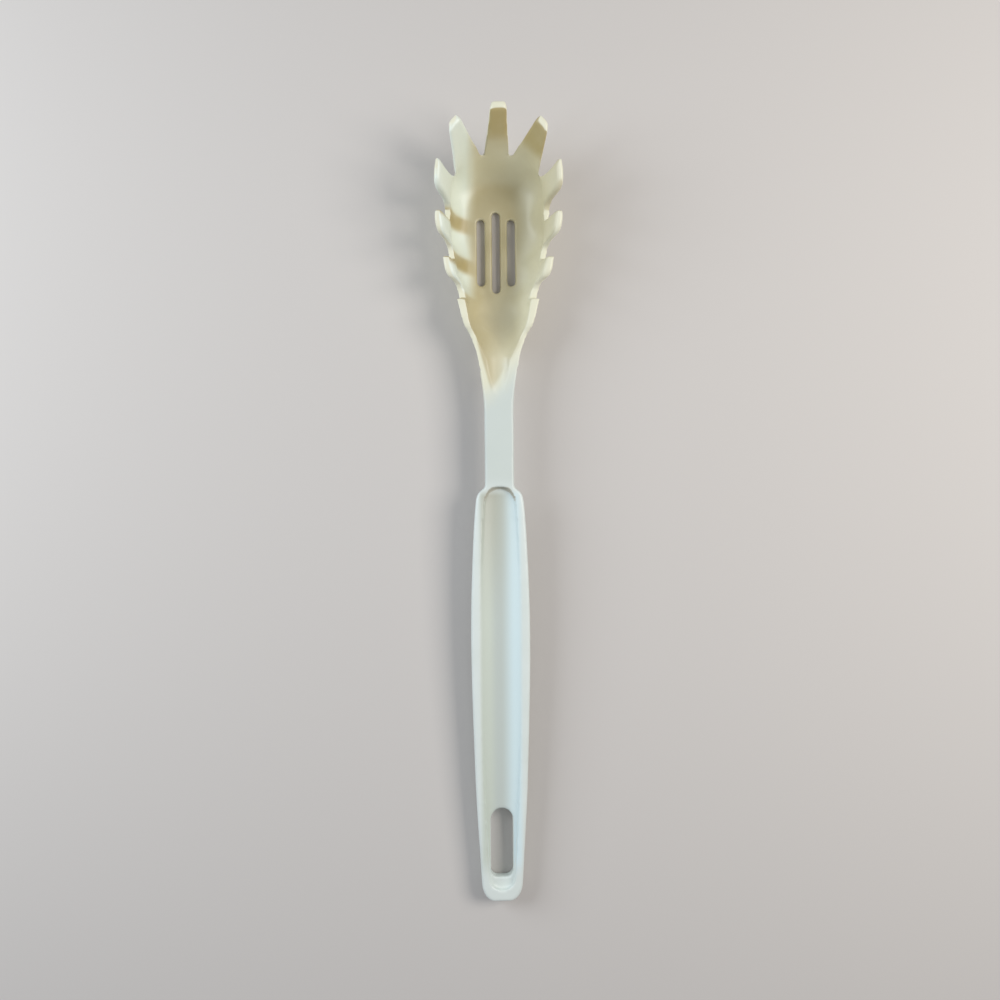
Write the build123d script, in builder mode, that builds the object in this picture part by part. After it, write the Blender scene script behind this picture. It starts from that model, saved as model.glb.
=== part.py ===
from build123d import *
import os
from math import cos, radians, sin, sqrt

# A pasta server: a deep oval bowl ringed with eleven prongs, a slim neck and
# a grooved grip, all of one plastic. It lies on its back, bowl open upwards.
# X runs across the tool, Y from the grip to the front prong, Z up. The origin
# is on the table under the middle of the tool. Lengths are in millimetres and
# angles in degrees.

# The whole tool
overall_length = 317.5
front_tip = overall_length / 2
grip_end = -overall_length / 2
wall = 3.0
overrun = 4.0

# The bowl's outside. Its reaches run from its widest station to the side, to
# the front and to the rear: on the flat floor, at the rim and at the tips.
floor_side = 12.0
floor_front = 15.3
floor_rear = 31.7
rim_height = 16.0
rim_side = 21.2
rim_front = 30.1
rim_rear = 67.2
tip_height = 33.0
tip_side = 26.4
tip_front = 41.0
tip_rear = 80.0
widest_y = front_tip - tip_front
# The side prongs thin down towards their tips by this much
tip_thinning = 0.8

# The turn from floor to rim: height as a share of the rim's height, then the
# reaches to side, front and rear as shares of the way from floor to rim.
turn_shares = [
    (0.075, 0.39, 0.22, 0.21),
    (0.25, 0.67, 0.45, 0.42),
    (0.56, 0.87, 0.72, 0.64),
]

# Levels of the bowl's inside, as shares of the way from its floor to the rim,
# and the steps in which the wall's thickness is measured off at each
inner_turn_shares = [0.0, 0.07, 0.25, 0.56, 1.0]
wall_steps = 12

# Plan outline of the bowl, as shares of its reach to the side, and of its
# reach to the front or to the rear. The last but one is where the neck starts.
front_outline_shares = [(0.0, 1.0), (0.38, 0.967), (0.69, 0.84), (0.88, 0.62), (0.975, 0.33), (1.0, 0.0)]
outer_rear_shares = [
    (0.981, 0.115),
    (0.929, 0.249),
    (0.73, 0.488),
    (0.538, 0.711),
    (0.42, 0.8125),
    (0.34, 0.92),
    (0.0, 1.0),
]

inner_rear_shares = [
    (0.985, 0.12),
    (0.912, 0.275),
    (0.68, 0.541),
    (0.575, 0.69),
    (0.459, 0.788),
    (0.32, 0.9),
    (0.0, 1.0),
]

# Drain slots in the floor
slot_width = 3.3
slot_pitch = 6.25
middle_slot_length = 33.6
side_slot_length = 27.6
slots_from_front = 52.3
slots_y = front_tip - slots_from_front

# Side prongs, front pair first: reach along the rim, height above it, and how
# far the tip leans forward over its root. The front pair ends a little below
# the tips of the front prongs, and its lean is cut by the gap in front of it.
side_tip_drop = 0.3
side_prong_sizes = [
    (19.2, tip_height - rim_height - side_tip_drop, 0.0),
    (16.8, 13.6, 2.2),
    (16.0, 8.2, 0.5),
    (20.0, 2.6, 0.0),
]
side_prongs_from_front = 21.8
side_prongs_front = front_tip - side_prongs_from_front
prong_seat_rear = 0.3
prong_seat_front = 4.4
# Rear edge of a side prong, as shares of its reach and of its height
prong_edge_shares = [(0.14, 0.0), (0.27, 0.05), (0.36, 0.28), (0.43, 0.62), (0.54, 0.87), (0.77, 0.96)]

# The middle front prong
middle_prong_tip_width = 6.3
middle_prong_root_width = 10.0

# Gap between the middle prong and a corner prong: its root and the corner
# prong's inner flank
inner_gap_depth = 15.9
inner_gap_root_y = front_tip - inner_gap_depth
inner_gap_root_width = 1.4
inner_gap_radius = 0.6
inner_flank_tip_x = 13.6
inner_flank_setback = 7.9
inner_flank_tip_y = front_tip - inner_flank_setback

# Gap between a corner prong and the first side prong: its root, how far that
# dips behind the side prong's tip, the bend and the tip of the side prong's
# hooked front edge, and the corner prong's outer flank
outer_gap_root_x = 16.0
outer_gap_dip = 4.2
outer_gap_radius = 1.4
hook_bend_x = 20.6
hook_bend_rise = 1.2
hook_bend_radius = 5.0
hook_tip_x = 23.4
outer_flank_tip_x = 19.8
outer_flank_setback = 8.8
outer_flank_tip_y = front_tip - outer_flank_setback

# The neck
neck_width = 11.6
neck_thickness = 5.5
neck_taper_length = 18.0
# Pull of the neck's side curve, as a share of the taper's length
neck_taper_share = 0.56
# How far the neck stands out past the rim on each side where it meets the bowl
neck_root_margin = 0.2
# The trough that runs the bowl's hollow out along the neck's front
trough_radius = 5.5
trough_slope = 10.0
trough_length = 24.0
trough_from_front = 112.7
shoulder_from_front = 148.3
shoulder_y = front_tip - shoulder_from_front

# The grip
grip_width = 23.9
shoulder_width = 19.4
shoulder_length = 7.0
grip_front_at_shoulder = 15.4
grip_back_at_shoulder = 7.2
grip_front_at_end = 7.8
grip_foot_length = 9.0
grip_end_lift = 1.2
grip_front_radius = 0.8
# Pull of the curve from the grip's side to the middle of its back, as shares of
# its depth and of its half width
grip_belly_shares = (0.75, 0.9)
# Shoulder curve, as shares of its step in width and of its length
shoulder_shares = [(0.15, 0.14), (0.68, 0.4), (0.9, 0.66), (1.0, 1.0)]
# Side of the grip, as shares of half its width and of its length
grip_side_shares = [
    (0.902, 0.093),
    (0.987, 0.254),
    (1.0, 0.346),
    (0.97, 0.495),
    (0.923, 0.618),
    (0.86, 0.748),
    (0.762, 0.872),
    (0.706, 0.946),
    (0.655, 0.973),
    (0.54, 0.989),
    (0.3, 1.0),
]

# Thumb groove along the grip's front
groove_land = 3.4
groove_depth = 2.6
groove_top_margin = 0.5
groove_end_margin = 4.6
groove_top_round = 10.0
groove_end_round = 5.0
# Pull of the curves round the groove's two ends, as shares of its half width
# and of the round's length
groove_top_shares = (0.7, 0.6)
groove_end_shares = (0.6, 0.6)
# Places where the groove's side keeps the land's width, as shares of the
# length between its two rounded ends
groove_side_shares = [0.0, 0.12, 0.3, 0.5, 0.7, 0.87, 1.0]

# Hanging slot through the grip
hang_slot_width = 9.2
hang_slot_length = 28.4
hang_slot_from_end = 23.5
hang_slot_y = grip_end + hang_slot_from_end
hang_slot_corner = 3.0
hang_slot_top_radius = 4.5


def mix(start, end, share):
    """The value that lies a share of the way from start to end."""
    return start + (end - start) * share


def bowl_levels():
    """Height and reaches to side, front and rear of each level of the bowl."""
    levels = [(0, floor_side, floor_front, floor_rear)]
    for height_share, side_share, front_share, rear_share in turn_shares:
        levels.append((
            rim_height * height_share,
            mix(floor_side, rim_side, side_share),
            mix(floor_front, rim_front, front_share),
            mix(floor_rear, rim_rear, rear_share),
        ))
    levels.append((rim_height, rim_side, rim_front, rim_rear))
    levels.append((tip_height, tip_side, tip_front, tip_rear))
    return levels


def outer_reaches(height):
    """Reaches of the bowl's outside to side, front and rear at one height."""
    levels = bowl_levels()
    low, high = levels[-2], levels[-1]
    for lower, upper in zip(levels, levels[1:]):
        if lower[0] <= height <= upper[0]:
            low, high = lower, upper
            break
    share = (height - low[0]) / (high[0] - low[0])
    return [mix(near, far, share) for near, far in zip(low[1:], high[1:])]


def inner_reaches(height):
    """Reaches of the bowl's inside, a full wall square to the outside."""
    inner = outer_reaches(height)
    for step in range(-wall_steps, wall_steps + 1):
        near_height = max(height + wall * step / wall_steps, 0)
        inset = sqrt(max(wall**2 - (near_height - height) ** 2, 0))
        inner = [min(reach, near - inset) for reach, near in zip(inner, outer_reaches(near_height))]
    inner[0] += tip_thinning * max(height - rim_height, 0) / (tip_height - rim_height)
    return inner


def bowl_outline(height, reaches, rear_shares):
    """Face of one of the bowl's plan outlines."""
    side, front, rear = reaches
    right = [(side * x, widest_y + front * y) for x, y in front_outline_shares]
    right += [(side * x, widest_y - rear * y) for x, y in rear_shares]
    left = [(-x, y) for x, y in reversed(right[1:-1])]
    with BuildSketch(Plane.XY.offset(height)) as sketch:
        with BuildLine():
            Spline(*right, *left, periodic=True)
        make_face()
    return sketch.sketch


# Where the bowl's rim runs into the neck
neck_share_x, neck_share_y = outer_rear_shares[-2]
neck_bowl_half = rim_side * neck_share_x + neck_root_margin
neck_bowl_y = widest_y - rim_rear * neck_share_y
top_height = tip_height + overrun
across = 2 * tip_side + overrun

# The bowl's outside, filled, and the space inside it
with BuildPart() as tub:
    loft([bowl_outline(level[0], level[1:], outer_rear_shares) for level in bowl_levels()])

with BuildPart() as cavity:
    heights = [mix(wall, rim_height, share) for share in inner_turn_shares]
    heights += [tip_height, top_height]
    loft([bowl_outline(height, inner_reaches(height), inner_rear_shares) for height in heights])

# The neck as a bar, carried on into the bowl's rear wall
with BuildPart() as neck_bar:
    with BuildSketch(Plane.XY):
        with BuildLine():
            taper_start = (neck_width / 2, neck_bowl_y - neck_taper_length)
            taper_pull = (neck_width / 2, mix(taper_start[1], neck_bowl_y, neck_taper_share))
            Line((0, shoulder_y), (neck_width / 2, shoulder_y))
            Line((neck_width / 2, shoulder_y), taper_start)
            Bezier(taper_start, taper_pull, (neck_bowl_half, neck_bowl_y))
            Line((neck_bowl_half, neck_bowl_y), (neck_width / 2, neck_bowl_y + overrun))
            Line((neck_width / 2, neck_bowl_y + overrun), (0, neck_bowl_y + overrun))
            mirror(about=Plane.YZ)
        make_face()
    extrude(amount=top_height)
    with BuildSketch(Plane.YZ):
        with BuildLine():
            level_y = widest_y - rim_rear - overrun
            Polyline(
                (shoulder_y, grip_front_at_shoulder),
                (level_y, rim_height),
                (neck_bowl_y + overrun, rim_height),
                (neck_bowl_y + overrun, rim_height - neck_thickness),
                (level_y, rim_height - neck_thickness),
                (shoulder_y, grip_front_at_shoulder - neck_thickness),
                close=True,
            )
        make_face()
    extrude(amount=across, both=True, mode=Mode.INTERSECT)

# Bowl, prongs and neck in one, before they are parted
with BuildPart() as head:
    add(tub.part)
    add(neck_bar.part)
    add(cavity.part, mode=Mode.SUBTRACT)

    # Trough into the neck
    slope = radians(trough_slope)
    trough_end = (0, front_tip - trough_from_front, rim_height)
    with BuildSketch(Plane(trough_end, x_dir=(1, 0, 0), z_dir=(0, cos(slope), -sin(slope)))):
        with Locations((0, -trough_radius)):
            Circle(trough_radius)
    extrude(amount=trough_length, mode=Mode.SUBTRACT)

    # Saw-toothed side rims, cut straight across both walls
    with BuildSketch(Plane.YZ):
        with BuildLine():
            corner = (side_prongs_front, top_height)
            prong_front = side_prongs_front
            for number, (reach, height, lean) in enumerate(side_prong_sizes):
                tip = (prong_front, rim_height + height)
                next_lean = side_prong_sizes[number + 1][2] if number + 1 < len(side_prong_sizes) else 0
                foot = (prong_front - reach - next_lean, rim_height)
                run = reach + next_lean
                Line(corner, tip)
                edge = [(foot[0] + run * x, rim_height + height * y) for x, y in prong_edge_shares]
                Spline(foot, *edge, tip)
                corner = foot
                prong_front = prong_front - reach
            Polyline(
                corner,
                (shoulder_y, rim_height),
                (shoulder_y, top_height),
                (side_prongs_front, top_height),
            )
        make_face()
    extrude(amount=across, both=True, mode=Mode.SUBTRACT)

    # Gaps on both sides of the middle prong
    with BuildSketch(Plane.XY):
        root_half = middle_prong_root_width / 2
        root_end = root_half + inner_gap_root_width
        front_y = front_tip + 2 * overrun
        flank_y = front_tip - inner_gap_root_y
        flank_x = mix(root_half, middle_prong_tip_width / 2, (front_y - inner_gap_root_y) / flank_y)
        inner_flank_end = (2 * inner_flank_tip_x - root_end, 2 * inner_flank_tip_y - inner_gap_root_y)
        with BuildLine():
            Polyline(
                (root_half, inner_gap_root_y),
                (flank_x, front_y),
                (inner_flank_end[0], front_y),
                inner_flank_end,
                (root_end, inner_gap_root_y),
                close=True,
            )
        gap = make_face()
        fillet(gap.vertices().group_by(Axis.Y)[0], radius=inner_gap_radius)
        mirror(about=Plane.YZ)
    extrude(amount=top_height, mode=Mode.SUBTRACT)

    # Gaps behind the corner prongs
    with BuildSketch(Plane.XY):
        root_y = side_prongs_front - outer_gap_dip
        flank_run = outer_flank_tip_x - outer_gap_root_x
        flank_rise = outer_flank_tip_y - root_y
        flank_end = (outer_flank_tip_x + flank_run / 2, outer_flank_tip_y + flank_rise / 2)
        bend = (hook_bend_x, root_y + hook_bend_rise)
        with BuildLine():
            Polyline(
                (outer_gap_root_x, root_y),
                flank_end,
                (across / 2 + overrun, flank_end[1]),
                (across / 2 + overrun, side_prongs_front),
                (hook_tip_x, side_prongs_front),
                bend,
                close=True,
            )
        gap = make_face()
        fillet(gap.vertices().sort_by(Axis.X)[0], radius=outer_gap_radius)
        fillet(vertices().sort_by_distance((*bend, 0))[0], radius=hook_bend_radius)
        mirror(about=Plane.YZ)
    extrude(amount=top_height, mode=Mode.SUBTRACT)

    # Drain slots
    with BuildSketch(Plane.XY):
        with Locations((0, slots_y)):
            SlotOverall(middle_slot_length, slot_width, rotation=90)
        with Locations((-slot_pitch, slots_y), (slot_pitch, slots_y)):
            SlotOverall(side_slot_length, slot_width, rotation=90)
    extrude(amount=2 * wall, mode=Mode.SUBTRACT)

with BuildPart() as neck:
    add(head.part)
    split(bisect_by=Plane.XZ.offset(-neck_bowl_y), keep=Keep.TOP)

# The prongs part from the bowl at a plane just above the roots of the gaps
seat_run = (0, side_prongs_front - neck_bowl_y, prong_seat_front - prong_seat_rear)
seat_plane = Plane(
    (0, neck_bowl_y, rim_height + prong_seat_rear),
    x_dir=(1, 0, 0),
    z_dir=(0, -seat_run[2], seat_run[1]),
)

with BuildPart() as bowl:
    add(head.part)
    split(bisect_by=Plane.XZ.offset(-neck_bowl_y), keep=Keep.BOTTOM)
    split(bisect_by=seat_plane, keep=Keep.BOTTOM)

with BuildPart() as crown:
    add(head.part)
    split(bisect_by=Plane.XZ.offset(-neck_bowl_y), keep=Keep.BOTTOM)
    split(bisect_by=seat_plane, keep=Keep.TOP)


def grip_stations():
    """Stations along the grip: place, half width, front height, back height."""
    neck_half = neck_width / 2
    side_start_y = shoulder_y - shoulder_length
    foot_y = grip_end + grip_foot_length
    outline = [(shoulder_y, neck_half, 0)]
    for step_share, run_share in shoulder_shares:
        half = mix(neck_half, shoulder_width / 2, step_share)
        outline.append((shoulder_y - shoulder_length * run_share, half, step_share))
    for width_share, run_share in grip_side_shares:
        outline.append((mix(side_start_y, grip_end, run_share), grip_width / 2 * width_share, 1))
    stations = []
    for y, half, thick_share in outline:
        front = mix(grip_front_at_shoulder, grip_front_at_end, (shoulder_y - y) / (shoulder_y - grip_end))
        back = mix(0, grip_back_at_shoulder, (y - foot_y) / (shoulder_y - foot_y))
        if y < foot_y:
            back = mix(0, grip_end_lift, (foot_y - y) / grip_foot_length)
        stations.append((y, half, front, mix(front - neck_thickness, back, thick_share)))
    return stations


def grip_station(y):
    """Half width and front height of the grip at any place along it."""
    stations = grip_stations()
    for near, far in zip(stations, stations[1:]):
        if near[0] >= y >= far[0]:
            share = (near[0] - y) / (near[0] - far[0])
            return mix(near[1], far[1], share), mix(near[2], far[2], share)
    return stations[-1][1], stations[-1][2]


# Thumb groove: a long round hollow, kept inside the lands
groove_half = grip_width / 2 - groove_land
groove_radius = (groove_half**2 + groove_depth**2) / (2 * groove_depth)
with BuildPart() as groove:
    front_run = (0, grip_end - shoulder_y, grip_front_at_end - grip_front_at_shoulder)
    with BuildSketch(Plane((0, shoulder_y, grip_front_at_shoulder), x_dir=(1, 0, 0), z_dir=front_run)):
        with Locations((0, groove_radius - groove_depth)):
            Circle(groove_radius)
    extrude(amount=overall_length / 2 + groove_radius)
    with BuildSketch(Plane.XY):
        side_top_y = shoulder_y - groove_top_margin - groove_top_round
        side_end_y = grip_end + groove_end_margin + groove_end_round
        side_points = []
        for share in groove_side_shares:
            y = mix(side_top_y, side_end_y, share)
            side_points.append((grip_station(y)[0] - groove_land, y))
        with BuildLine():
            (top_x, top_y), (end_x, end_y) = side_points[0], side_points[-1]
            crest_y = top_y + groove_top_round
            foot_y = end_y - groove_end_round
            top_pull = (top_x * groove_top_shares[0], crest_y)
            top_side = (top_x, mix(top_y, crest_y, groove_top_shares[1]))
            end_side = (end_x, mix(end_y, foot_y, groove_end_shares[1]))
            end_pull = (end_x * groove_end_shares[0], foot_y)
            Bezier((0, crest_y), top_pull, top_side, (top_x, top_y))
            Spline(*side_points)
            Bezier((end_x, end_y), end_side, end_pull, (0, foot_y))
            mirror(about=Plane.YZ)
        make_face()
    extrude(amount=top_height, mode=Mode.INTERSECT)

with BuildPart() as grip:
    for y, half, front, back in grip_stations():
        with BuildSketch(Plane((0, y, 0), x_dir=(1, 0, 0), z_dir=(0, -1, 0))):
            with BuildLine():
                edge = (half - grip_front_radius, front)
                waist = (half, front - grip_front_radius)
                side_pull = (half, mix(waist[1], back, grip_belly_shares[0]))
                back_pull = (half * grip_belly_shares[1], back)
                Line((0, front), edge)
                RadiusArc(edge, waist, grip_front_radius)
                Bezier(waist, side_pull, back_pull, (0, back))
                mirror(about=Plane.YZ)
            make_face()
    loft()

    add(groove.part, mode=Mode.SUBTRACT)

    # Hanging slot
    with BuildSketch(Plane.XY.offset(-overrun)):
        with Locations((0, hang_slot_y)):
            Rectangle(hang_slot_width, hang_slot_length)
        fillet(vertices().group_by(Axis.Y)[0], radius=hang_slot_corner)
        fillet(vertices().group_by(Axis.Y)[-1], radius=hang_slot_top_radius)
    extrude(amount=top_height, mode=Mode.SUBTRACT)

# The eleven prongs, parted from the bowl just above its rim
pieces = crown.part.solids().sort_by(Axis.Y, reverse=True)
prongs = {"front_prong": pieces[0]}
for side_name, side in (("left", -1), ("right", 1)):
    side_pieces = [piece for piece in pieces[1:] if side * piece.center().X > 0]
    for number, piece in enumerate(side_pieces, start=1):
        prongs[f"{side_name}_prong_{number}"] = piece

os.makedirs("parts", exist_ok=True)
for name, piece in prongs.items():
    with BuildPart() as prong:
        add(piece)
    prong.part.label = name
    export_step(prong.part, f"parts/{name}.step")

bowl.part.label = "bowl"
export_step(bowl.part, "parts/bowl.step")
neck.part.label = "neck"
export_step(neck.part, "parts/neck.step")
grip.part.label = "grip"
export_step(grip.part, "parts/grip.step")
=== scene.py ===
from math import radians

import bmesh
import bpy
from mathutils import Matrix, Vector


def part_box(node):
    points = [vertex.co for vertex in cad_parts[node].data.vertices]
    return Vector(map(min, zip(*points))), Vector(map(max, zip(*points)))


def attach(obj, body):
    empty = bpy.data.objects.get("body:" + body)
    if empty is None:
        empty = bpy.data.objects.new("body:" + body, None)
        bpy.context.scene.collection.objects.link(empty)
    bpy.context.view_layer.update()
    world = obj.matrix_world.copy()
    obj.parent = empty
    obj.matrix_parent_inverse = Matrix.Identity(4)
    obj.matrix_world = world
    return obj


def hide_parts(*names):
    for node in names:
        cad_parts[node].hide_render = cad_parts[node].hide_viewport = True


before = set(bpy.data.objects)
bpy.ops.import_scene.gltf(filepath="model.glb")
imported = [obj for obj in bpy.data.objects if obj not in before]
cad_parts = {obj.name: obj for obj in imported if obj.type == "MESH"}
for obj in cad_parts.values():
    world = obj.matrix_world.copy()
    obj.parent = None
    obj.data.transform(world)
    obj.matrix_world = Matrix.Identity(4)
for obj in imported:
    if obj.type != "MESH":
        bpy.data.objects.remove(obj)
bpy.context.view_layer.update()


# The whole moulding
# The real server leaves its mould as one piece of nylon, with every edge
# rounded by the steel and with shallow flutes down the bowl's side walls, one
# under each side prong. It is made here as one skin and then cut into regions.
skin_step = 0.0004
weld_distance = 1e-6
rounding_passes = 5
hollow_passes = 80
prong_passes = 36
rim_z = 0.016
slots_y = 0.10645
slots_half_width = 0.0085
slots_half_length = 0.0175
hollow_rear_y = 0.060
bowl_middle_y = 0.1178
side_prongs_front_y = 0.13695
side_prong_reaches = [0.0192, 0.0168, 0.016, 0.020]
flute_depth = 0.0024
flute_foot_z = 0.003
flute_step = 0.0045
flute_end_share = 0.6
flute_end_depth = 0.65


class Flow:
    """One output in a node tree. Sums on it are written as Python expressions."""

    def __init__(self, tree, socket=None):
        self.tree = tree
        self.socket = socket

    def node(self, kind, settings, values, output=0):
        """Adds a node, with its settings first, then its sockets' values or links."""
        made = self.tree.nodes.new(kind)
        for name, value in settings.items():
            if name == "points":
                curve = made.mapping.curves[0]
                while len(curve.points) < len(value):
                    curve.points.new(0.5, 0.5)
                for point, place in zip(curve.points, value):
                    point.location = place
                made.mapping.update()
            else:
                setattr(made, name, value)
        for key, value in values.items():
            if isinstance(value, Flow):
                self.tree.links.new(value.socket, made.inputs[key])
            else:
                made.inputs[key].default_value = value
        return Flow(self.tree, made.outputs[output])

    def split(self):
        """The three parts of this vector."""
        parts = self.tree.nodes.new("ShaderNodeSeparateXYZ")
        self.tree.links.new(self.socket, parts.inputs[0])
        return [Flow(self.tree, socket) for socket in parts.outputs]

    def sum(self, operation, *terms):
        """A Math node on numbers and flows."""
        return self.node("ShaderNodeMath", {"operation": operation}, dict(enumerate(terms)))

    def vector(self, operation, first, second, output=0):
        """A Vector Math node on two vectors."""
        return self.node("ShaderNodeVectorMath", {"operation": operation}, {0: first, 1: second}, output)

    def larger(self, *terms):
        """The largest of some flows."""
        best = terms[0]
        for term in terms[1:]:
            best = self.sum("MAXIMUM", best, term)
        return best

    def __add__(self, other):
        return self.sum("ADD", self, other)

    __radd__ = __add__

    def __sub__(self, other):
        return self.sum("SUBTRACT", self, other)

    def __rsub__(self, other):
        return self.sum("SUBTRACT", other, self)

    def __mul__(self, other):
        return self.sum("MULTIPLY", self, other)

    __rmul__ = __mul__

    def __truediv__(self, other):
        return self.sum("DIVIDE", self, other)

    def __abs__(self):
        return self.sum("ABSOLUTE", self)

    def ramp(self, low, high):
        """A smooth rise from 0 at low to 1 at high."""
        sockets = {"Value": self, "From Min": low, "From Max": high}
        return self.node("ShaderNodeMapRange", {"interpolation_type": "SMOOTHSTEP"}, sockets)


skin = bpy.data.meshes.new("moulding")
joined = bmesh.new()
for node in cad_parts.values():
    joined.from_mesh(node.data)
bmesh.ops.remove_doubles(joined, verts=joined.verts, dist=weld_distance)
joined.to_mesh(skin)
joined.free()
moulding = bpy.data.objects.new("moulding", skin)
bpy.context.collection.objects.link(moulding)
remesh = moulding.modifiers.new("skin", "REMESH")
remesh.mode = "VOXEL"
remesh.voxel_size = skin_step

# Notches between the side prongs, from the front one to the rear one
notches_y = [side_prongs_front_y]
for reach in side_prong_reaches:
    notches_y.append(notches_y[-1] - reach)
flutes_rear_y = notches_y[-1]
flutes_length = side_prongs_front_y - flutes_rear_y


def wall_share(y):
    """A place along the side wall, as 0 at the front notch and 1 at the rear one."""
    return (side_prongs_front_y - y) / flutes_length


# Depth of the flutes along a side wall: each steps out behind its notch and
# comes slowly back in towards the next
flute_points = []
for notch_y, reach in zip(notches_y, side_prong_reaches):
    flute_points.append((wall_share(notch_y), 0.0))
    flute_points.append((wall_share(notch_y - flute_step), 1.0))
    flute_points.append((wall_share(notch_y - flute_end_share * reach), flute_end_depth))
flute_points.append((1.0, 0.0))


# The plastic
# It is white all over when new, and hot sauce has yellowed the head. The darker
# faces inside the bowl and the grey of the thumb groove are painted shade, with a
# painted highlight on the lobes of the bowl's left wall and a painted bluish
# reflection on the groove's right half. Where a mark fades in or out is given as
# a range, in metres or as a share of a normal.
blotch_scale = 70.0
blotch_detail = 3.0
blotch_range = (0.3, 0.75)
blotch_middle = 0.5
grain_scale = 900.0
grain_detail = 2.0
grain_height = 0.0004
grain_strength = 0.06
plastic_ior = 1.53
plastic_roughness = 0.32
roughness_spread = 0.12

yellow_range = (0.042, 0.060)
yellow_slant = 0.9
yellow_wander = 0.012
cream_colours = (0.82, 0.805, 0.645, 1), (0.77, 0.755, 0.585, 1)
# Painted shade: a dark olive laid on faces that look into the bowl and on its floor
painted_shade_colour = (0.44, 0.355, 0.165, 1)
# Painted highlight: a pale bluish white on the lobes of the bowl's left wall
lobe_highlight_colour = (0.80, 0.87, 0.79, 1)
inward_range = (0.25, 0.5)
lobe_highlight_range = (0.0, 0.3)
floor_z = (0.007, 0.012)
floor_level = (0.4, 0.7)
painted_shade_depth = 0.73
painted_shade_spared = 0.33
painted_shade_blotched = 0.4

lobes_x = (0.007, 0.013)
lobes_z = (0.0022, 0.0040)
lobes_slant = 0.2
lobes_middle_x = 0.017
lobe_start = [(0.0, 0.9), (0.1, 0.9)]
lobe_edges = [(-1.2, 0.9), (-0.5, 0.1), (0.2, 0.0), (1.0, 0.95)]
shade_bands_y = (0.083, 0.093)
shade_bands_depth = 0.9
front_prongs_z = (0.012, 0.026)
front_prongs_y = (0.132, 0.142)
front_wall_facing = (0.15, 0.8)
rear_y = (0.080, 0.105)
rear_x = (-0.010, 0.002)
right_wall_x = (0.006, 0.013)
right_rear_x = (0.006, 0.012)
right_rear_y = (0.085, 0.120)
right_rear_depth = 0.8

trail_right = (-0.001, 0.0015)
trail_right_slant = 0.62
trail_right_y = 0.0535
trail_left = (-0.0005, 0.0008)
trail_left_x = 0.0045
trail_left_slant = 0.28
trail_left_y = 0.053
trail_start_y = (0.044, 0.052)
trail_end_y = (0.066, 0.072)
trail_level = (0.5, 0.8)

white_colours = (0.75, 0.81, 0.785, 1), (0.72, 0.78, 0.75, 1)
groove_x = (0.0070, 0.0092)
groove_end_y = (-0.150, -0.140)
groove_top_y = (0.006, 0.0095)
groove_level = (0.3, 0.6)
groove_shading_share = 0.9
groove_left_x = (-0.005, -0.001)
groove_right_x = (0.000, 0.006)
# Painted shade across the thumb groove, darkest at its left, and a painted bluish reflection on its
# right half
groove_left_shade_colour = (0.60, 0.655, 0.575, 1)
groove_middle_shade_colour = (0.53, 0.58, 0.545, 1)
groove_right_reflection_colour = (0.70, 0.84, 0.87, 1)
# Painted shade near the top of the thumb groove, deepest at its left
groove_top_shade_y = (-0.050, 0.006)
groove_top_shade_right_x = (-0.003, 0.005)
groove_top_shade_right_loss = 0.9
groove_top_shade_left_x = (-0.009, -0.004)
groove_top_shade_left_share = 0.5
groove_top_shade_colour = (0.47, 0.48, 0.40, 1)
end_wall_facing = (0.1, 0.35)
end_wall_start_y = (-0.006, 0.000)
end_wall_end_y = (0.0096, 0.0102)
end_wall_x = (0.0080, 0.0100)
end_wall_shade_colour = (0.47, 0.45, 0.37, 1)
neck_y = (0.006, 0.014)
neck_grey_share = 0.5
neck_colour = (0.52, 0.57, 0.53, 1)

# Brightness along the left wall: a painted highlight on a lobe in each of the first
# three flutes, and painted shade at the notches behind them
lobe_points = list(lobe_start)
for notch_y in notches_y[1:-1]:
    for steps_behind, brightness in lobe_edges:
        lobe_points.append((wall_share(notch_y - steps_behind * flute_step), brightness))
lobe_points[-1] = (1.0, 0.0)


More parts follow.
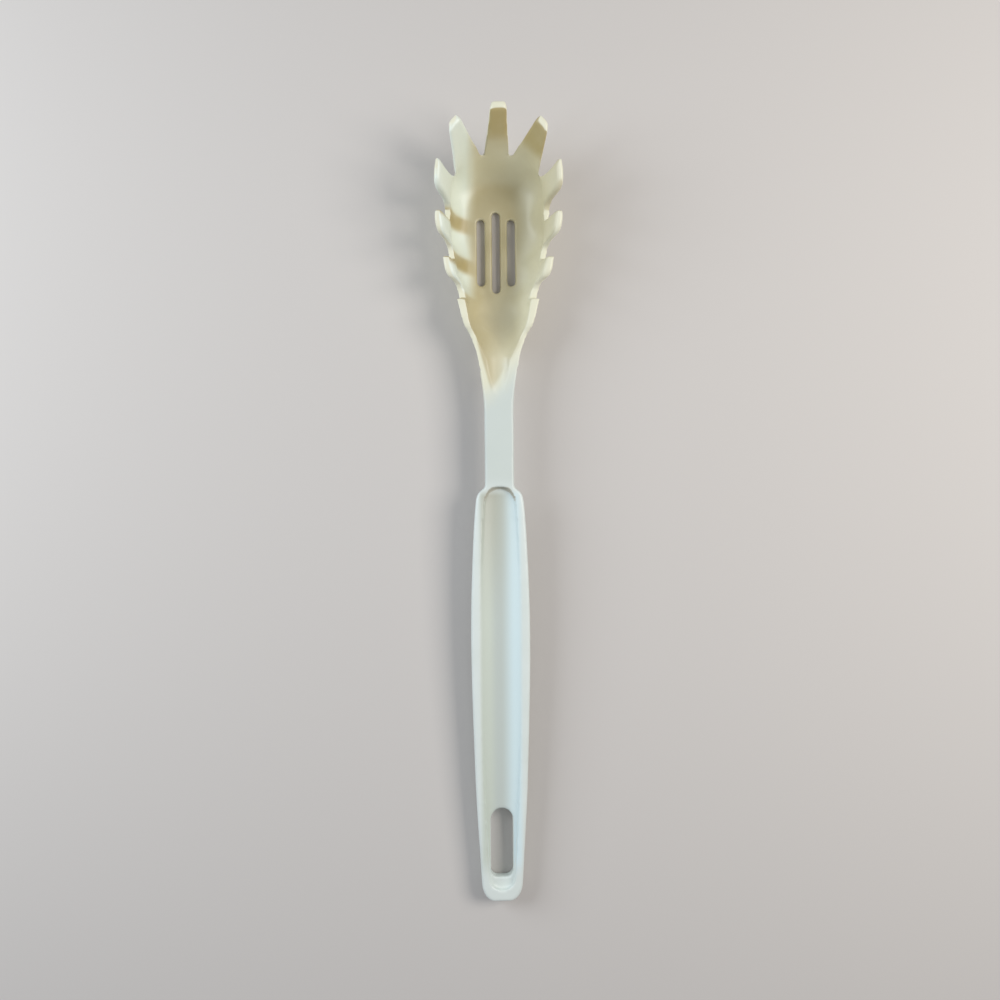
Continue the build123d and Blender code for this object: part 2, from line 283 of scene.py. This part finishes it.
def moulded_plastic(name):
    """Smooth moulded nylon, white at the grip and yellowed in the head, with painted shade inside the
    bowl and in the thumb groove and a painted highlight on the bowl's left wall.
    """
    material = bpy.data.materials.new(name)
    material.use_nodes = True
    tree = material.node_tree
    tree.nodes.clear()
    flow = Flow(tree)

    def mixed(share, low, high):
        sockets = {"Factor": share, "A": low, "B": high}
        return flow.node("ShaderNodeMix", {"data_type": "RGBA"}, sockets, "Result")

    def noise(scale, detail):
        sockets = {"Vector": place, "Scale": scale, "Detail": detail}
        return flow.node("ShaderNodeTexNoise", {}, sockets, "Fac")

    place = flow.node("ShaderNodeTexCoord", {}, {}, "Object")
    normal = flow.node("ShaderNodeTexCoord", {}, {}, "Normal")
    x, y, z = place.split()
    normal_x, normal_y, normal_z = normal.split()
    blotch = noise(blotch_scale, blotch_detail)
    grain = noise(grain_scale, grain_detail)

    # Faces that look into the bowl, its floor, and the lobes on the left that get a painted highlight
    across = 0 - normal_x * flow.sum("SIGN", x)
    inward = flow.larger(across, 0 - normal_y * flow.sum("SIGN", y - bowl_middle_y))
    floor = normal_z.ramp(*floor_level) * (1 - z.ramp(*floor_z))
    along = (side_prongs_front_y - y - lobes_slant * (x + lobes_middle_x)) / flutes_length
    lobes = flow.node("ShaderNodeFloatCurve", {"points": lobe_points}, {"Value": along})
    left_side = (0 - x).ramp(*lobes_x)
    # Where the left wall's lobes carry a painted highlight in place of the painted shade
    left = left_side * z.ramp(*lobes_z) * lobes

    # How deep the painted shade is: less on the front wall, the right wall and the rear
    front_prongs = z.ramp(*front_prongs_z) * y.ramp(*front_prongs_y)
    front_wall = (0 - normal_y).ramp(*front_wall_facing) * (1 - front_prongs)
    rear = (1 - y.ramp(*rear_y)) * x.ramp(*rear_x)
    right_wall = x.ramp(*right_wall_x) * (1 - front_prongs)
    right_rear = x.ramp(*right_rear_x) * (1 - y.ramp(*right_rear_y))
    spared = flow.larger(front_wall, rear, right_wall) + right_rear_depth * right_rear
    # Deeper painted shade in bands on the left wall, towards its front
    shade_bands = shade_bands_depth * left_side * y.ramp(*shade_bands_y)
    depth = flow.larger(painted_shade_depth - painted_shade_spared * spared, front_prongs, shade_bands)

    # A trail of painted shade runs from the bowl up the left of the neck's root
    shade_trail = 1 - (x - trail_right_slant * (y - trail_right_y)).ramp(*trail_right)
    shade_trail = shade_trail * (x + trail_left_x + trail_left_slant * (y - trail_left_y)).ramp(*trail_left)
    shade_trail = shade_trail * y.ramp(*trail_start_y) * (1 - y.ramp(*trail_end_y)) * normal_z.ramp(*trail_level)

    # Painted shade, dark olive, on faces that look into the bowl and on its floor
    painted_shade = flow.larger(flow.larger(inward.ramp(*inward_range), floor) * (1 - left), shade_trail)
    painted_shade = painted_shade * depth * (1 - painted_shade_blotched / 2 + painted_shade_blotched * blotch)
    # Painted highlight, a pale bluish white, on the left wall's lobes
    lobe_highlight = left * flow.larger(inward.ramp(*lobe_highlight_range), floor)
    cream = mixed(lobe_highlight, mixed(blotch.ramp(*blotch_range), *cream_colours), lobe_highlight_colour)
    yellowed_and_shaded = mixed(painted_shade, cream, painted_shade_colour)

    # Thumb groove: painted shade, darkest at its left and near its top, and a painted bluish reflection
    # on its right half
    groove = (1 - abs(x).ramp(*groove_x)) * (1 - y.ramp(*groove_top_y)) * normal_z.ramp(*groove_level)
    groove = groove * y.ramp(*groove_end_y)
    groove_shading = mixed(x.ramp(*groove_left_x), groove_left_shade_colour, groove_middle_shade_colour)
    groove_shading = mixed(x.ramp(*groove_right_x), groove_shading, groove_right_reflection_colour)
    # Painted shade near the groove's top, less on its right
    groove_top_shade = y.ramp(*groove_top_shade_y) * (1 - x.ramp(*groove_top_shade_right_x) * groove_top_shade_right_loss)
    groove_top_shade = groove_top_shade * (1 - groove_top_shade_left_share + groove_top_shade_left_share * x.ramp(*groove_top_shade_left_x))
    groove_shading = mixed(groove_top_shade, groove_shading, groove_top_shade_colour)
    # Painted shade on the groove's end wall at its top
    end_wall = (0 - normal_y).ramp(*end_wall_facing) * (1 - abs(x).ramp(*end_wall_x))
    end_wall = end_wall * y.ramp(*end_wall_start_y) * (1 - y.ramp(*end_wall_end_y))

    white = mixed(blotch.ramp(*blotch_range), *white_colours)
    white = mixed(groove * groove_shading_share, white, groove_shading)
    white = mixed(end_wall, white, end_wall_shade_colour)
    # Everything from the neck forward is greyed halfway towards a grey-green
    white = mixed(y.ramp(*neck_y) * neck_grey_share, white, neck_colour)
    yellowing = (y - yellow_slant * x + (blotch - blotch_middle) * yellow_wander).ramp(*yellow_range)
    colour = mixed(yellowing, white, yellowed_and_shaded)
    bump_sockets = {"Strength": grain_strength, "Distance": grain_height, "Height": grain}
    bump = flow.node("ShaderNodeBump", {}, bump_sockets, "Normal")
    roughness = plastic_roughness + roughness_spread * blotch
    shader_sockets = {"Base Color": colour, "Roughness": roughness, "Normal": bump, "IOR": plastic_ior}
    shader = flow.node("ShaderNodeBsdfPrincipled", {}, shader_sockets)
    outlet = tree.nodes.new("ShaderNodeOutputMaterial")
    tree.links.new(shader.socket, outlet.inputs["Surface"])
    return material


head_plastic = moulded_plastic("yellowed_plastic")


# Rounding and flutes
# Every edge is softened, the bowl's hollow is run together into one smooth dish
# and the prongs' tips are rounded off, as the mould leaves them.
rear_fade = 1.15
slots_fade = 1.3
floor_top = (0.6, 0.9)
wall_facing = (0.65, 0.85)
wall_foot = (0.6, 0.75)
wall_top = (1.4, 1.7)
prong_foot = (1.15, 1.5)
corner_start = (0.7, 1.2)
front_fade = 1.03
prong_base_share = 0.25
prong_corner_share = 0.3
prong_front_share = 0.45
inside_facing = (0.0, 0.2)
inside_sideways = (0.35, 0.75)
flute_foot_fade = 2
flute_top = (0.85, 1.1)

fluting = bpy.data.node_groups.new("fluting", "GeometryNodeTree")
fluting.interface.new_socket("Geometry", in_out="INPUT", socket_type="NodeSocketGeometry")
fluting.interface.new_socket("Geometry", in_out="OUTPUT", socket_type="NodeSocketGeometry")
fluter = moulding.modifiers.new("fluting", "NODES")
fluter.node_group = fluting
given = fluting.nodes.new("NodeGroupInput")
flow = Flow(fluting)


def inlet(label, kind, value):
    """Adds a named input to the group, sets it on the modifier and hands over its flow."""
    item = fluting.interface.new_socket(label, in_out="INPUT", socket_type=kind)
    fluter[item.identifier] = value
    return Flow(fluting, given.outputs[label])


def blurred(value, passes, share):
    """Each point moved towards its neighbours, by a share of the full step."""
    sockets = {"Value": value, "Iterations": passes, "Weight": share}
    return flow.node("GeometryNodeBlurAttribute", {"data_type": "FLOAT_VECTOR"}, sockets)


def within(value, unit, shares):
    """A smooth rise between two shares of a length."""
    return value.ramp(unit * shares[0], unit * shares[1])


flutes_front = inlet("Flutes front", "NodeSocketFloat", side_prongs_front_y)
flutes_rear = inlet("Flutes rear", "NodeSocketFloat", flutes_rear_y)
depth = inlet("Flute depth", "NodeSocketFloat", flute_depth)
foot = inlet("Flute foot", "NodeSocketFloat", flute_foot_z)
rim = inlet("Rim height", "NodeSocketFloat", rim_z)
slots_middle = inlet("Slots middle", "NodeSocketFloat", slots_y)
slots_across = inlet("Slots across", "NodeSocketFloat", slots_half_width)
slots_along = inlet("Slots along", "NodeSocketFloat", slots_half_length)
hollow_rear = inlet("Hollow rear", "NodeSocketFloat", hollow_rear_y)
middle = inlet("Bowl middle", "NodeSocketVector", (0.0, bowl_middle_y, 0.0))
round_steps = inlet("Rounding passes", "NodeSocketInt", rounding_passes)
hollow_steps = inlet("Hollow passes", "NodeSocketInt", hollow_passes)
prong_steps = inlet("Prong passes", "NodeSocketInt", prong_passes)
finish = inlet("Finish", "NodeSocketMaterial", head_plastic)

place = flow.node("GeometryNodeInputPosition", {}, {})
normal = flow.node("GeometryNodeInputNormal", {}, {})
x, y, z = place.split()
level = flow.vector("MULTIPLY", place, (1.0, 1.0, 0.0))
spoke = flow.vector("SUBTRACT", level, middle)
spoke = flow.node("ShaderNodeVectorMath", {"operation": "NORMALIZE"}, {0: spoke})
facing = flow.vector("DOT_PRODUCT", normal, spoke, "Value")
sideways = flow.vector("DOT_PRODUCT", normal, (1.0, 0.0, 0.0), "Value")

# Flutes, on the side walls' inner faces between the floor and the rim
along = (flutes_front - y) / (flutes_front - flutes_rear)
profile = flow.node("ShaderNodeFloatCurve", {"points": flute_points}, {"Value": along})
inside = (0 - facing).ramp(*inside_facing) * abs(sideways).ramp(*inside_sideways)
height = z.ramp(foot, foot * flute_foot_fade) * (1 - within(z, rim, flute_top)) * inside
outward_shift = flow.sum("SIGN", x) * profile * height * depth
shift = flow.node("ShaderNodeCombineXYZ", {}, {"X": outward_shift})
fluted = flow.vector("ADD", place, shift)

# Share of each kind of rounding, by place. The slots' edges keep to the first,
# slight one.
in_bowl = y.ramp(hollow_rear, hollow_rear * rear_fade)
beside_slots = abs(x).ramp(slots_across, slots_across * slots_fade)
past_slots = abs(y - slots_middle).ramp(slots_along, slots_along * slots_fade)
floor = flow.larger(beside_slots, past_slots) * (1 - within(z, rim, floor_top)) * in_bowl
wall = abs(facing).ramp(*wall_facing) * within(z, rim, wall_foot) * (1 - within(z, rim, wall_top))
hollow = flow.larger(floor, wall * in_bowl)
corner = within(abs(x), slots_across, corner_start)
front = y.ramp(flutes_front, flutes_front * front_fade)
prong = prong_base_share + corner * (prong_corner_share + prong_front_share * front)
prong = within(z, rim, prong_foot) * prong

rounded = blurred(fluted, round_steps, 1.0)
hollowed = blurred(rounded, hollow_steps, hollow)
tipped = blurred(hollowed, prong_steps, prong)
geometry = Flow(fluting, given.outputs["Geometry"])
moved = flow.node("GeometryNodeSetPosition", {}, {"Geometry": geometry, "Position": tipped})
real = flow.node("GeometryNodeRealizeInstances", {}, {"Geometry": moved})
finished = flow.node("GeometryNodeSetMaterial", {}, {"Geometry": real, "Material": finish})
outlet = fluting.nodes.new("NodeGroupOutput")
fluting.links.new(finished.socket, outlet.inputs[0])
whole = bpy.data.meshes.new_from_object(moulding.evaluated_get(bpy.context.evaluated_depsgraph_get()))
bpy.data.objects.remove(moulding)


# The bowl
# A deep oval shell with three drain slots through its floor. It ends just
# above its rim, where the prongs stand up from it, and behind at the neck.
neck_bowl_y = 0.055926
seat_rear_z = 0.0163
seat_front_z = 0.0204
shoulder_y = 0.01045
cut_tolerance = 1e-7
seat_point = Vector((0, neck_bowl_y, seat_rear_z))
seat_up = Vector((0, seat_rear_z - seat_front_z, side_prongs_front_y - neck_bowl_y)).normalized()

stock = bmesh.new()
stock.from_mesh(whole)
outward = stock.verts.layers.float_vector.new("outward")
stock.normal_update()
for vert in stock.verts:
    vert[outward] = vert.normal


def score(work, point, direction, faces):
    """Cuts edges into some faces of the skin along a plane, and takes nothing away."""
    edges = {edge for face in faces for edge in face.edges}
    verts = {vert for face in faces for vert in face.verts}
    geometry = [*faces, *edges, *verts]
    bmesh.ops.bisect_plane(work, geom=geometry, dist=cut_tolerance, plane_co=point, plane_no=direction)


score(stock, (0, shoulder_y, 0), (0, 1, 0), stock.faces[:])
score(stock, (0, neck_bowl_y, 0), (0, 1, 0), stock.faces[:])
head_faces = [face for face in stock.faces if face.calc_center_median().y > neck_bowl_y]
score(stock, seat_point, seat_up, head_faces)

# The skin's faces are sorted into regions. Above the rim each island of faces
# is the prong whose solid is nearest.
regions = {"grip": [], "neck": [], "bowl": []}
crown = set()
for face in stock.faces:
    centre = face.calc_center_median()
    if centre.y < shoulder_y:
        regions["grip"].append(face)
    elif centre.y < neck_bowl_y:
        regions["neck"].append(face)
    elif (centre - seat_point).dot(seat_up) < 0:
        regions["bowl"].append(face)
    else:
        crown.add(face)
while crown:
    island = [crown.pop()]
    for face in island:
        for edge in face.edges:
            for other in edge.link_faces:
                if other in crown:
                    crown.remove(other)
                    island.append(other)
    centre = sum((face.calc_center_median() for face in island), Vector()) / len(island)
    nearest = None
    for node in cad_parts:
        if "prong" in node:
            low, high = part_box(node)
            gap = ((Vector(low) + Vector(high)) / 2 - centre).length
            if nearest is None or gap < nearest[0]:
                nearest = (gap, node)
    regions.setdefault(nearest[1], []).extend(island)


def part_off(name, material):
    """Takes one region of the skin, closes it where it was cut and makes it a piece."""
    index = {}
    work = bmesh.new()
    carried = work.verts.layers.float_vector.new("outward")
    for face in regions[name]:
        for vert in face.verts:
            if vert not in index:
                index[vert] = work.verts.new(vert.co)
                index[vert][carried] = vert[outward]
        work.faces.new([index[vert] for vert in face.verts]).smooth = True
    open_edges = [edge for edge in work.edges if edge.is_boundary]
    caps = bmesh.ops.holes_fill(work, edges=open_edges, sides=0)["faces"]
    caps = set(bmesh.ops.triangulate(work, faces=caps)["faces"])
    bmesh.ops.recalc_face_normals(work, faces=work.faces)
    work.normal_update()
    normals = []
    for face in work.faces:
        for loop in face.loops:
            normals.append(face.normal.copy() if face in caps else loop.vert[carried].copy())
    mesh = bpy.data.meshes.new(name)
    work.to_mesh(mesh)
    work.free()
    mesh.normals_split_custom_set(normals)
    mesh.attributes.remove(mesh.attributes["outward"])
    mesh.materials.append(material)
    piece = bpy.data.objects.new("shown_" + name, mesh)
    bpy.context.collection.objects.link(piece)
    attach(piece, "root")
    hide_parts(name)
    return piece


bowl = part_off("bowl", head_plastic)


# The prongs
# Eleven prongs stand on the bowl's rim, three long ones in front and four
# saw teeth down each side. They are moulded with the bowl, not fixed to it.
for name in sorted(regions):
    if "prong" in name:
        prong = part_off(name, head_plastic)


# The neck
# A slim flat bar that carries the bowl, moulded in one with it.
handle_plastic = moulded_plastic("white_plastic")
neck = part_off("neck", handle_plastic)


# The grip
# A long handle with a hollow down its front for the thumb and an oblong slot
# through its end to hang it by, moulded in one with the neck.
grip = part_off("grip", handle_plastic)


# The table
# A plain pale sheet lies under the tool. It reaches far past what the
# photograph's camera sees.
floor_reach = 3.0
floor_colour = (0.60, 0.57, 0.55, 1)
floor_roughness = 0.8
table_mesh = bpy.data.meshes.new("table")
table_work = bmesh.new()
bmesh.ops.create_grid(table_work, x_segments=1, y_segments=1, size=floor_reach)
table_work.to_mesh(table_mesh)
table_work.free()
table = bpy.data.objects.new("table", table_mesh)
bpy.context.collection.objects.link(table)
table_finish = bpy.data.materials.new("table_sheet")
table_finish.use_nodes = True
table_shader = table_finish.node_tree.nodes["Principled BSDF"]
table_shader.inputs["Base Color"].default_value = floor_colour
table_shader.inputs["Roughness"].default_value = floor_roughness
table_mesh.materials.append(table_finish)


# Light
# A warm window from the right and above, a fainter cool one from the left, and
# the room's own even light.
right_place = (0.46, 0.10, 0.50)
right_aim = (0, 0.10, 0.01)
right_size = 0.34
right_power = 2.9
right_colour = (1.0, 0.97, 0.91)
left_place = (-0.48, 0.14, 0.32)
left_aim = (0, -0.08, 0.01)
left_size = 0.36
left_power = 2.1
left_colour = (0.88, 0.95, 1.0)
room_colour = (0.93, 0.95, 1.0, 1)
room_strength = 0.33


def softbox(name, place, aim, width, power, colour):
    """A square area lamp that faces a point."""
    lamp = bpy.data.lights.new(name, "AREA")
    lamp.size = width
    lamp.energy = power
    lamp.color = colour
    box = bpy.data.objects.new(name, lamp)
    box.location = place
    box.rotation_euler = (Vector(aim) - Vector(place)).to_track_quat("-Z", "Y").to_euler()
    bpy.context.collection.objects.link(box)


softbox("right_window", right_place, right_aim, right_size, right_power, right_colour)
softbox("left_window", left_place, left_aim, left_size, left_power, left_colour)
world = bpy.data.worlds.new("room")
world.use_nodes = True
world.node_tree.nodes["Background"].inputs["Color"].default_value = room_colour
world.node_tree.nodes["Background"].inputs["Strength"].default_value = room_strength
bpy.context.scene.world = world


# Camera
# It looks straight down on the middle of the tool from 45 cm, a little from
# the left and turned by half a degree, as the photograph does.
camera_place = Vector((-0.022, 0.0047, 0.450))
camera_aim = Vector((0.0004, 0.0047, 0.008))
camera_roll = radians(-0.55)
focal_pixels = 1088
frame_pixels = 1000
sensor_width = 36
lens = bpy.data.cameras.new("camera")
lens.sensor_width = sensor_width
lens.lens = sensor_width * focal_pixels / frame_pixels
camera = bpy.data.objects.new("camera", lens)
back = (camera_place - camera_aim).normalized()
right = Vector((0, 1, 0)).cross(back).normalized()
up = back.cross(right)
turn = Matrix((right, up, back)).transposed().to_4x4() @ Matrix.Rotation(camera_roll, 4, "Z")
camera.matrix_world = Matrix.Translation(camera_place) @ turn
bpy.context.collection.objects.link(camera)
bpy.context.scene.camera = camera
bpy.context.scene.view_settings.view_transform = "Standard"
